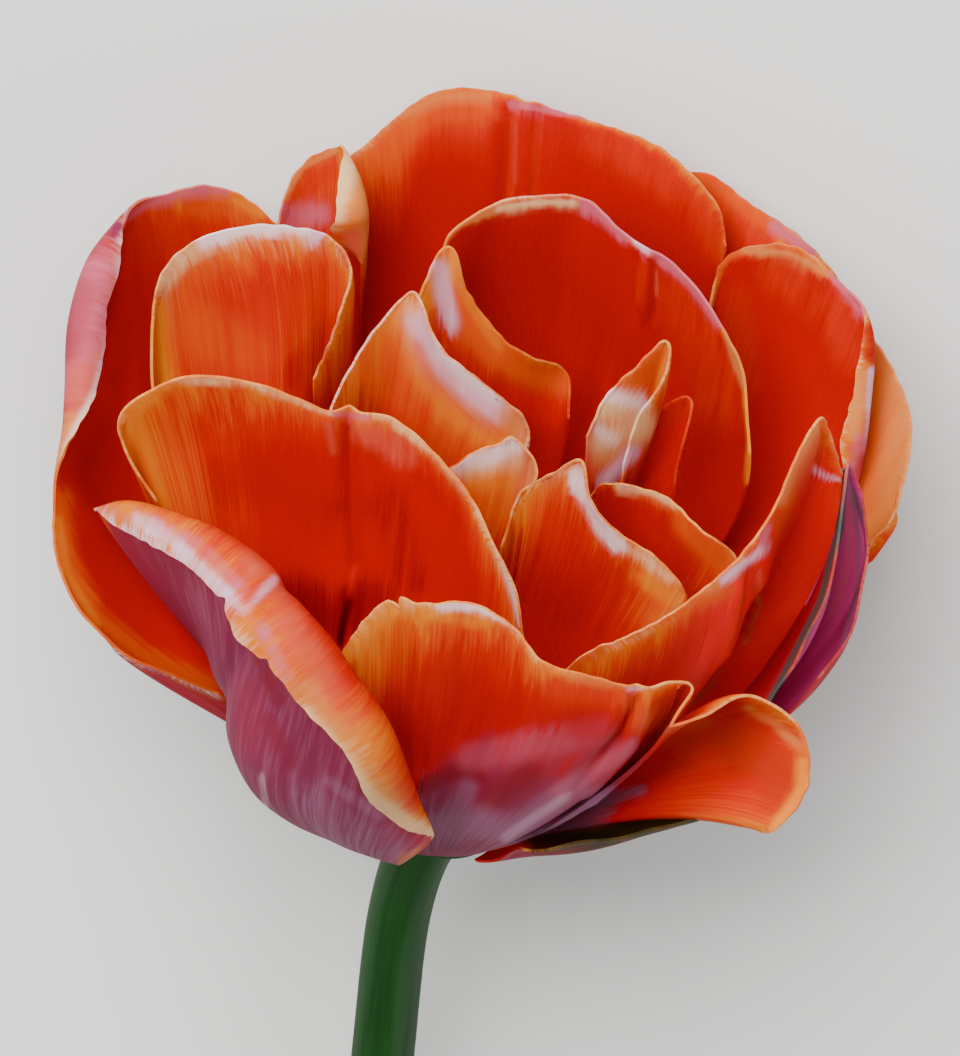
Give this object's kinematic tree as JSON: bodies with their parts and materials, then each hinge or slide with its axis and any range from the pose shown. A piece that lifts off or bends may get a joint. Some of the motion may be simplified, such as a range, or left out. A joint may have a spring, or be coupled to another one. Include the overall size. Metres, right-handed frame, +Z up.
{
  "type": "double tulip cut flower",
  "caption": "Cut double tulip lying on its side: a full orange-red bloom with mauve-backed petals on a curved green stem with two clasping leaves.",
  "frame": {"origin": "on the surface that the flower lies on, under the middle of its box", "axes": "+Z up from the surface, +Y along the lying flower from the stem's cut end to the bloom, +X to the bloom's right seen from its front"},
  "size_m": [0.1154, 0.3596, 0.066],
  "materials": {
    "petal": "satin tulip petal, red inside with streaked orange-yellow margins, mauve outside",
    "green_petal": "satin outer tulip petal, purple-mauve with grey-green stripes",
    "pistil": "matt yellow-green pistil",
    "anther": "dusty dark stamen",
    "stem": "smooth waxy green stem",
    "leaf": "waxy blue-green leaf with long parallel veins"
  },
  "bodies": {
    "root": {"front_left": "petal", "front": "petal", "under_front": "petal", "left": "petal", "back_left": "petal", "back": "petal", "back_right": "petal", "right": "petal", "inner_back_left": "petal", "inner_left": "petal", "inner_back_right": "petal", "inner_right": "petal", "inner_front_right": "petal", "heart_left": "petal", "heart_back": "petal", "heart_middle": "petal", "heart_front": "petal", "heart_twisted": "petal", "heart_right": "petal", "heart_back_right": "petal", "right_sepal": "green_petal", "pistil": "pistil", "stamen_1": "anther", "stamen_2": "anther", "stamen_3": "anther", "stamen_4": "anther", "stamen_5": "anther", "stamen_6": "anther", "stem": "stem", "lower_leaf": "leaf", "upper_leaf": "leaf"}
  },
  "joints": []
}
